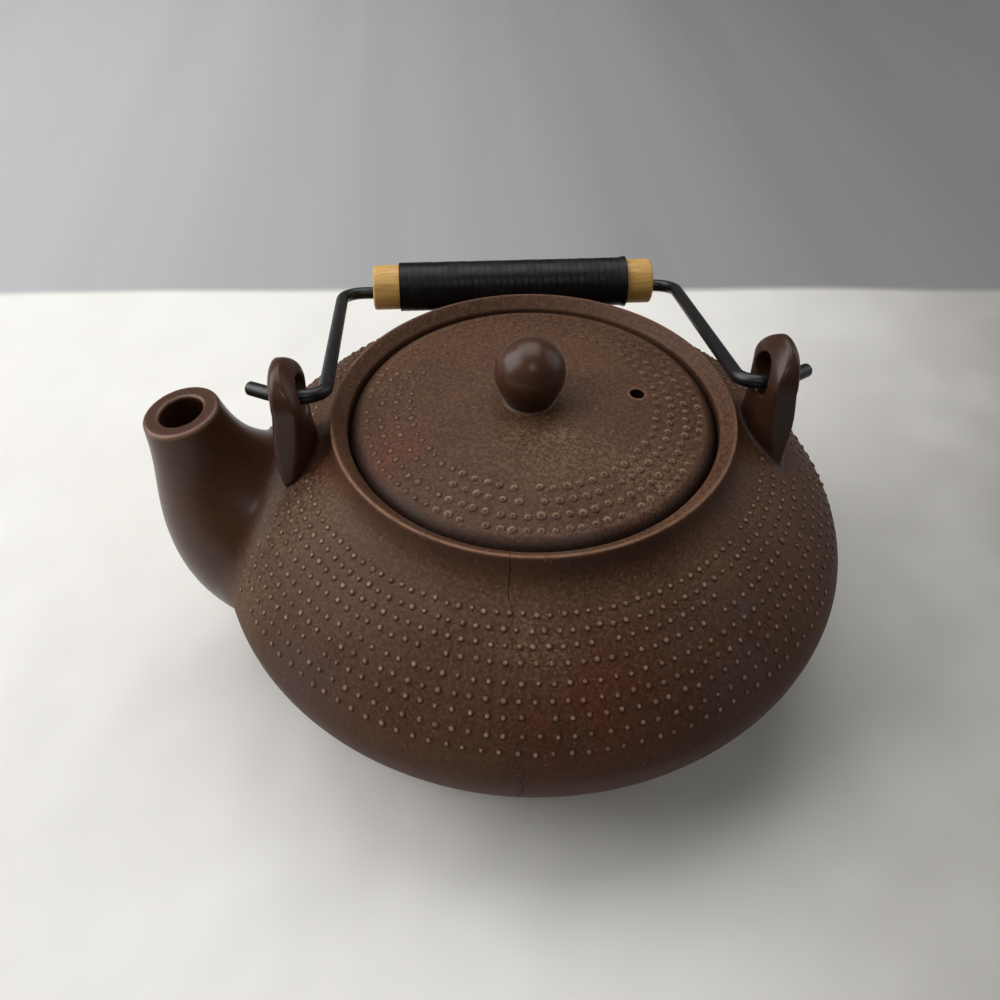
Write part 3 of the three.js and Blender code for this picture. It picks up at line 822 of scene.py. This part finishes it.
ear_trees = [joined_tree(bpy.data.objects[name]) for name in ("ear_spout_side", "ear_rear_side")]
spots = []
for row, distance in enumerate(stud_rows):
    shift = stud_chance.random()
    for i in range(studs_in_row):
        spot, normal = along(belly, distance + stud_chance.gauss(0, row_waviness))
        step = i + shift + stud_chance.gauss(0, stud_drift)
        turn = Matrix.Rotation(2 * pi * step / studs_in_row, 4, "Z")
        place = turn @ spot
        faint = top_row_share if row == 0 else 1
        width = stud_radius * stud_chance.uniform(0.84, 1.12)
        height = stud_height * stud_chance.uniform(0.7, 1.15) * faint
        paleness = stud_chance.uniform(0.45, 1.0) * faint
        if stud_chance.random() < stud_missing:
            continue
        near_spout = over(spout_tree, place)[0]
        near_ear = min(tree.find_nearest(place)[3] for tree in ear_trees)
        if near_spout < root_blend * 0.5 or near_ear < ear_margin or under_ear(place):
            continue
        spots.append((place, turn.to_3x3() @ normal, width, height, paleness))
# Its top is pale, as wear and a painted highlight, and the ring round its foot carries painted
# shade.
blunt_stud = stud_form([
    (0.9, -1, 0, 0), (1.45, 0, 0, 0.1), (1.08, 0.07, 0, 0.75),
    (0.82, 0.6, 0.1, 0.1), (0.48, 0.93, 0.8, 0), (0, 1, 1, 0),
])
pot_studs = shown("pot_studs", studded(spots, blunt_stud), fired_clay, crease=60)
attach(pot_studs, "pot")

# Lid
# A shallow dome with a deep flange under it that drops into the mouth, turned in one piece and
# pierced with a small vent for a finger.

lid_radius = 44.4
lid_edge_height = 71.2
lid_rise = 5.5
lid_round = 4.4
lid_flatness = 3.2
lid_thickness = 5
lid_hollow_radius = 34
lid_seat_height = 67.0
seat_round = 0.5
flange_outer_radius = 37.9
flange_inner_radius = 34.4
flange_bottom = 58.7
flange_round = 0.9
dome_steps = 30
hollow_steps = 12
vent_radius = 1.75
vent_lip = vent_radius + 0.3
vent_top = 76.16
vent_tilt = 0.115
vent_place = (25.4 * cos(radians(2)), 25.4 * sin(radians(2)), 74)


def lid_top(radius):
    """Height of the dome over a radius."""
    return lid_edge_height + lid_rise * (1 - (radius / lid_radius) ** lid_flatness)


edge_centre = (lid_radius - lid_round, lid_top(lid_radius - lid_round) - lid_round)
flange_edge = flange_bottom + flange_round
seat_edge = lid_seat_height - seat_round
lid_outline = []
for i in range(hollow_steps + 1):
    r = lid_hollow_radius * i / hollow_steps
    lid_outline.append(Vector((r, 0, max(lid_top(r) - lid_thickness, lid_seat_height))))
lid_outline += [
    Vector((flange_inner_radius, 0, seat_edge)),
    *rounded((flange_inner_radius + flange_round, flange_edge), flange_round, 180, 270, 4),
    *rounded((flange_outer_radius - flange_round, flange_edge), flange_round, -90, 0, 4),
    *rounded((flange_outer_radius + seat_round, seat_edge), seat_round, 180, 90, 3),
    *rounded((lid_radius - seat_round, lid_seat_height + seat_round), seat_round, -90, 0, 3),
    *rounded(edge_centre, lid_round, 0, 74, 12),
]
for i in range(dome_steps + 1):
    r = (edge_centre[0] + 0.4) * (1 - i / dome_steps)
    lid_outline.append(Vector((r, 0, lid_top(r))))
lid_mesh = bored(turned(lid_outline, pot_sides), vent_radius, 20, vent_place, (0, 0, 1), 40)
lid_mesh = bored(lid_mesh, vent_lip, 1, (*vent_place[:2], vent_top), (vent_tilt, 0, 1), 40)


def from_vent(place):
    """Distance of a place from the vent's middle line."""
    return hypot(place.x - vent_place[0], place.y - vent_place[1])


def vent_wear(place):
    """The vent's lip is rubbed pale."""
    return 0.8 * (1 - abs(from_vent(place) - vent_lip) / 0.15) if place.z > 74 else 0


def lid_painted_shade(place):
    """Painted shade on the lid's rounded edge, where it turns down into the gap, and inside the
    vent.
    """
    inside = from_vent(place) < vent_radius + 0.1
    return 1 if inside else (hypot(place.x, place.y) - 41.2) / 2.4


marked(lid_mesh, "edge", vent_wear)
marked(lid_mesh, "painted_shade", lid_painted_shade)
lid = shown("lid_shell", lid_mesh, fired_clay, crease=35)
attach(lid, "lid")
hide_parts("lid_plate", "lid_flange")

# Studs of the lid
# Four rings of the same studs. Those on the left were pressed like the pot's, and the others
# deeper, which left small craters. The craters' rims are painted lighter towards the back as a
# painted highlight, and their middles and feet darker as painted shade.

lid_rings = [(40.1, 84), (36.7, 76), (33.0, 68), (29.6, 62)]
lid_stud_radius = 0.84
lid_stud_height = 0.26
lid_stud_missing = 0.04
left_sector = (radians(150), radians(232))
worn_turn = radians(25)
crater_spots = []
blunt_spots = []
for radius, count in lid_rings:
    shift = stud_chance.random()
    for i in range(count):
        turn = 2 * pi * (i + shift + stud_chance.gauss(0, 0.06)) / count
        r = radius + stud_chance.gauss(0, 0.15)
        slope = (lid_top(r + 0.1) - lid_top(r - 0.1)) / 0.2
        normal = Vector((-slope * cos(turn), -slope * sin(turn), 1)).normalized()
        left = left_sector[0] < turn % (2 * pi) < left_sector[1]
        faint = 0.8 if left else 0.2 + 0.8 * min(max(0.35 - sin(turn - worn_turn), 0), 1)
        width = lid_stud_radius * stud_chance.uniform(0.8, 1.15)
        height = lid_stud_height * stud_chance.uniform(0.6, 1.15) * (0.5 + 0.5 * faint)
        paleness = stud_chance.uniform(0.5, 1.0) * faint
        if stud_chance.random() < lid_stud_missing:
            continue
        place = Vector((r * cos(turn), r * sin(turn), lid_top(r)))
        if left:
            blunt_spots.append((place, normal, width * 0.9, 1.3 * height, paleness * 0.6))
        else:
            crater_spots.append((place, normal, width, height, paleness))
# Pale rim, as wear and a painted highlight; painted shade in the middle and round the foot.
crater = stud_form([
    (1.0, -1, 0, 0), (1.5, 0, 0, 0.1), (1.15, 0.1, 0.2, 0.5), (0.95, 0.85, 1, 0),
    (0.76, 1, 1, 0), (0.56, 0.7, 0.8, 0.1), (0, 0.1, 0, 0.8),
])
# The craters' painted highlight is strongest on their sides towards the back.
for name, spots, form, way in (
    ("lid_craters", crater_spots, crater, Vector((-0.2, 0.98, 0))),
    ("lid_studs", blunt_spots, blunt_stud, None),
):
    made = shown(name, studded(spots, form, way), fired_clay, crease=60)
    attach(made, "lid")

# Knob
# A ball of clay on a short neck, burnished, and luted to the middle of the lid.

knob_radius = 8.4
knob_centre = 84.6
knob_shift = 0.9
knob_foot_radius = 6.6
knob_foot_height = 76.68
knob_waist = (6.05, 77.75)
knob_taper = 24
knob_neck_end = (7.67, 81.18)
knob_mesh = turned([
    Vector((0, 0, 75.6)),
    Vector((knob_foot_radius, 0, 75.9)),
    Vector((knob_foot_radius, 0, knob_foot_height)),
    *curve([(knob_foot_radius, knob_foot_height), (6.0, 76.85), (5.7, 77.2), knob_waist], 5),
    *curve([knob_waist, (6.4, 78.2), (6.9, 79.2), knob_neck_end], 6)[1:],
    *rounded((0, knob_centre), knob_radius, -knob_taper, 90, 24)[1:],
], 64)
knob_mesh.transform(Matrix.Translation((-knob_shift, 0, 0)))
marked(knob_mesh, "raw", lambda place: 0.8 - (place.z - 76.7) / 1.6)
# Painted shade on the neck and the lower part of the ball.
marked(knob_mesh, "painted_shade", lambda place: 0.55 * min((place.z - 77) / 1.5, (86 - place.z) / 5, 1))
knob = shown("knob", knob_mesh, burnished_clay, crease=50)
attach(knob, "lid")
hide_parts("lid_knob")

# Bail
# One steel wire bent cold into a flat hoop with a hook at each end, its ends nipped off and
# tumbled round, then painted black. The hooks are sprung into the ears.

wire_radius = 1.75
arm_x = 49.7
bail_reach = 74
corner_radius = 6
bend_radius = 5
curl_radius = 15
curl_angle = 36
tail_length = 5.6
tail_bevel = 0.7
hook_dip = 0.5
hinge_place = (0.5, 0, 79.75)
bail_roll = 1.15
fold_angle = 104.93
bail_turn = Matrix.Rotation(radians(bail_roll), 4, "Y")
bail_fold = Matrix.Rotation(radians(-fold_angle), 4, "X")


def painted_wire():
    """Black satin paint with fine dents, brushed thin in places where the wire rubs."""
    made, shader, place = new_finish("black_paint", Specular_IOR_Level=0.5)
    pits = place.noise(0.7, 3)
    paleness = place.noise(2.5, 4, 5).rises(0.6, 0.72)
    lay(paleness.tint(paint(13, 13, 15), paint(28, 29, 31)), shader, "Base Color")
    lay(0.3 + pits * 0.16 + paleness * 0.1, shader, "Roughness")
    lay(relief(pits * 0.03 + place.noise(3, 1, 2) * 0.05), shader, "Normal")
    return made


def straight(mesh, end, way):
    """Lengthens the wire from its end face by a vector."""
    made = bmesh.ops.extrude_face_region(mesh, geom=[end])["geom"]
    verts = [v for v in made if isinstance(v, bmesh.types.BMVert)]
    bmesh.ops.translate(mesh, vec=way, verts=verts)
    bmesh.ops.delete(mesh, geom=[end], context="FACES_ONLY")
    return next(f for f in made if isinstance(f, bmesh.types.BMFace) and len(f.verts) > 4)


def bent(mesh, end, centre, angle, steps):
    """Bends the wire on from its end face about a centre in the XZ plane."""
    made = bmesh.ops.spin(
        mesh, geom=[end], cent=centre, axis=(0, 1, 0), angle=radians(angle), steps=steps,
        use_merge=False, use_duplicate=False,
    )["geom_last"]
    face = next(f for f in made if isinstance(f, bmesh.types.BMFace) and len(f.verts) > 4)
    if end.is_valid:
        bmesh.ops.delete(mesh, geom=[end], context="FACES_ONLY")
    return face


wire_mesh = bmesh.new()
bmesh.ops.create_circle(
    wire_mesh, cap_ends=True, segments=20, radius=wire_radius,
    matrix=Matrix.Translation((0, 0, bail_reach)) @ Matrix.Rotation(radians(90), 4, "Y"),
)
wire_mesh.faces.ensure_lookup_table()
end = wire_mesh.faces[0]
corner_x = arm_x - corner_radius
corner_z = bail_reach - corner_radius
end = straight(wire_mesh, end, Vector((corner_x, 0, 0)))
end = bent(wire_mesh, end, (corner_x, 0, corner_z), 90, 10)
end = straight(wire_mesh, end, Vector((0, 0, bend_radius - hook_dip - corner_z)))
end = bent(wire_mesh, end, (arm_x + bend_radius, 0, bend_radius - hook_dip), -90, 12)
end = bent(wire_mesh, end, (arm_x + bend_radius, 0, curl_radius - hook_dip), -curl_angle, 8)
curl = radians(curl_angle)
end = straight(wire_mesh, end, Vector((cos(curl), 0, sin(curl))) * tail_length)
bmesh.ops.bevel(
    wire_mesh, geom=end.edges[:], offset=tail_bevel, segments=4, profile=0.5, affect="EDGES",
    material=-1,
)
middle = [f for f in wire_mesh.faces if all(abs(v.co.x) < 0.01 for v in f.verts)]
bmesh.ops.delete(wire_mesh, geom=middle, context="FACES_ONLY")
bmesh.ops.mirror(
    wire_mesh, geom=wire_mesh.verts[:] + wire_mesh.edges[:] + wire_mesh.faces[:],
    matrix=Matrix.Identity(4), merge_dist=0.01, axis="X",
)
wire_mesh.transform(Matrix.Translation(hinge_place) @ bail_turn @ bail_fold)
bmesh.ops.recalc_face_normals(wire_mesh, faces=wire_mesh.faces)
wire = shown("bail_rod", wire_mesh, painted_wire(), crease=50)
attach(wire, "bail")
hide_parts("bail_wire")

# Grip
# A turned wooden roller, bored for the wire, that spins on it. Its two ends show bare and
# waxed, with the grain along the grip.

grip_half = 41.6
grip_radius = 6.5
bore_radius = 3.6
bore_bevel = 0.4
grip_round = 0.7
relief_radius = 5.5
relief_play = 0.3
wrap_half = 33.6
grip_middle = (1.14046, 72.4425, 61.82929)
grip_turn = Matrix.Rotation(radians(90 + bail_roll), 4, "Y")
grip_place = Matrix.Translation(grip_middle) @ grip_turn


def waxed_wood():
    """Straw-coloured wood: long fibres, fine pores and slow rings."""
    made, shader, place = new_finish("waxed_wood", Specular_IOR_Level=0.45)
    fibres = place.noise(0.5, 4, 3, (0.06, 1, 1))
    rings = place.noise(3.4, 2, 9, (0.12, 1, 1))
    pores = place.noise(0.22, 2, 6, (0.1, 1, 1)).rises(0.64, 0.72)
    base = fibres.rises(0.3, 0.72).tint(paint(176, 134, 66), paint(206, 166, 96))
    base = (rings.rises(0.42, 0.66) * 0.5).tint(base, paint(168, 120, 58))
    base = (pores * 0.6).tint(base, paint(120, 82, 40))
    lay(base, shader, "Base Color")
    lay(0.42 + fibres * 0.22, shader, "Roughness")
    lay(relief(fibres * 0.05 - pores * 0.06), shader, "Normal")
    return made


grip_mesh = turned([
    Vector((bore_radius, 0, -grip_half + bore_bevel)),
    Vector((bore_radius + bore_bevel, 0, -grip_half)),
    *rounded((grip_radius - grip_round, grip_round - grip_half), grip_round, -90, 0, 4),
    Vector((grip_radius, 0, -wrap_half - relief_play)),
    Vector((relief_radius, 0, -wrap_half - relief_play)),
    Vector((relief_radius, 0, wrap_half + relief_play)),
    Vector((grip_radius, 0, wrap_half + relief_play)),
    *rounded((grip_radius - grip_round, grip_half - grip_round), grip_round, 0, 90, 4),
    Vector((bore_radius + bore_bevel, 0, grip_half)),
    Vector((bore_radius, 0, grip_half - bore_bevel)),
], 64)
grip_mesh.transform(grip_place)
bmesh.ops.recalc_face_normals(grip_mesh, faces=grip_mesh.faces)
grip = shown("grip_roller", grip_mesh, waxed_wood())
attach(grip, "grip")
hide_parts("grip_core")

# Winding
# A flat band of smooth black plastic cane, wound tight round the roller, turn against turn,
# with its two ends trimmed square and tucked under.

wrap_radius = 7.1
band_thickness = 1.3
wrap_turns = 34
band_pitch = 2 * wrap_half / (wrap_turns - 2)
band_play = 0.015
band_half = band_pitch / 2 - band_play
turn_steps = 32
end_lap = 0.34
end_lap_length = 3


def black_cane():
    """Smooth black band with a soft gloss and fine lines along it."""
    made, shader, place = new_finish("black_cane", Specular_IOR_Level=0.27)
    lines = place.noise(0.3, 2, 4, (1, 0.15, 0.15))
    smears = place.noise(6, 3, 8).rises(0.4, 0.7)
    lay(smears.tint(paint(5, 5, 7), paint(8, 8, 10)), shader, "Base Color")
    lay(0.34 + smears * 0.16 + lines * 0.1, shader, "Roughness")
    lay(relief(lines * 0.02 + place.noise(2, 2) * 0.04), shader, "Normal")
    return made


wrap_mesh = bmesh.new()
wrap_start = -band_pitch * wrap_turns / 2
low, high = wrap_radius - band_thickness, wrap_radius
section = [
    (low, -1), (high - 0.04, -1), (high - 0.01, -0.88), (high, -0.45),
    (high, 0.45), (high - 0.01, 0.88), (high - 0.04, 1), (low, 1),
]
cap = [wrap_mesh.verts.new((r, 0, wrap_start + z * band_half)) for r, z in section]
bmesh.ops.spin(
    wrap_mesh, geom=[wrap_mesh.faces.new(cap)], cent=(0, 0, 0), axis=(0, 0, 1),
    dvec=(0, 0, band_pitch / turn_steps), angle=2 * pi * wrap_turns,
    steps=wrap_turns * turn_steps, use_merge=False, use_duplicate=False,
)
for end in (-1, 1):
    bmesh.ops.bisect_plane(
        wrap_mesh, geom=wrap_mesh.verts[:] + wrap_mesh.edges[:] + wrap_mesh.faces[:],
        plane_co=(0, 0, end * (wrap_half + 0.2)), plane_no=(0, 0, end), clear_outer=True,
    )
    open_edges = [e for e in wrap_mesh.edges if e.is_boundary]
    bmesh.ops.holes_fill(wrap_mesh, edges=open_edges, sides=0)
wrap_chance = Random(5)
turn_swell = [wrap_chance.uniform(-0.05, 0.03) for _ in range(wrap_turns + 2)]
for vert in wrap_mesh.verts:
    if hypot(vert.co.x, vert.co.y) > low + 0.3:
        swell = turn_swell[int((vert.co.z - wrap_start) / band_pitch + 0.5)]
        lapped = end_lap * max(1 - (wrap_half - vert.co.z) / end_lap_length, 0) ** 2
        stretch = 1 + (swell + lapped) / wrap_radius
        vert.co.x *= stretch
        vert.co.y *= stretch
wrap_mesh.transform(grip_place)
bmesh.ops.recalc_face_normals(wrap_mesh, faces=wrap_mesh.faces)
winding = shown("grip_winding", wrap_mesh, black_cane(), crease=70)
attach(winding, "grip")
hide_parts("grip_wrap")

# Table
# A white cloth smoothed over a grey table. The cloth ends a little behind the pot. Both are
# painted darker to the right, as painted shade of the light's fall-off.

cloth_edge = 161
cloth_turn = radians(-4.2)
floor_half = 4000


def cloth_and_table():
    """White cotton with low folds in front of the cloth's edge, grey behind it, both painted
    darker to the right as painted shade.
    """
    made, shader, place = new_finish("cloth_and_table", Specular_IOR_Level=0.2)
    x, y, _ = place.axes()
    along_edge = place.noise(110, 1) * 8 - 4
    behind = y * cos(cloth_turn) - x * sin(cloth_turn) + along_edge
    behind = behind.rises(cloth_edge - 1, cloth_edge + 5)
    weave = place.noise(0.5, 2, 3)
    side = x.rises(-260, 260)
    # Painted shade: the cloth darkens to the right and the front right, for the light's fall-off.
    cloth = (x - y * 0.35).rises(-10, 212).tint(paint(220, 218, 213), paint(138, 135, 131))
    cloth = (place.noise(50, 2, 31).rises(0.4, 0.7) * 0.15).tint(cloth, paint(236, 235, 232))
    streaks = place.noise(45, 3, 8, (1, 0.04, 1)) * 0.4 - 0.2
    # Painted shade: the table darkens to the right.
    table = (side + streaks).tint(paint(170, 171, 173), paint(116, 117, 119))
    lay(behind.tint(cloth, table), shader, "Base Color")
    lay(0.85 + weave * 0.1, shader, "Roughness")
    lay(relief((place.noise(60, 2, 31) * 4 + weave * 0.03) * (1 - behind)), shader, "Normal")
    return made


floor_mesh = bmesh.new()
bmesh.ops.create_grid(floor_mesh, x_segments=8, y_segments=8, size=floor_half)
floor = shown("floor", floor_mesh, cloth_and_table())

# Light
# A large soft window to the left, a pale ceiling and a faint pale wall to the right, in a dim
# room, with a small light in front that the knob reflects.

world = bpy.data.worlds.new("room")
world.use_nodes = True
background = world.node_tree.nodes["Background"]
background.inputs["Color"].default_value = paint(224, 222, 218)
background.inputs["Strength"].default_value = 0.1
bpy.context.scene.world = world
target = Vector((0, 0, 0.04))
for name, place, size, power in (
    ("left_window", (-0.8, 0.15, 0.7), 1.0, 12.2),
    ("ceiling", (0.0, 0.5, 1.1), 1.0, 7.8),
    ("right_wall", (0.9, 0.25, 0.45), 0.8, 1.8),
    ("front_glow", (0.03, -0.42, 0.62), 0.12, 0.4),
):
    data = bpy.data.lights.new(name, "AREA")
    data.shape = "SQUARE"
    data.size = size
    data.energy = power
    lamp = bpy.data.objects.new(name, data)
    lamp.location = place
    lamp.rotation_euler = (target - Vector(place)).to_track_quat("-Z", "Y").to_euler()
    bpy.context.scene.collection.objects.link(lamp)

# Camera
# Above the table in front of the pot, looking down at it by about 45 degrees. Its place and
# turn were fitted to the rings of the pot in the photograph.

camera_data = bpy.data.cameras.new("camera")
camera_data.lens = 36
camera_data.sensor_width = 36
camera = bpy.data.objects.new("camera", camera_data)
camera.location = (-0.02115, -0.18565, 0.22894)
camera.rotation_euler = (radians(44.9895), radians(0.1909), radians(-4.2132))
bpy.context.scene.collection.objects.link(camera)
bpy.context.scene.camera = camera
bpy.context.scene.view_settings.view_transform = "Standard"
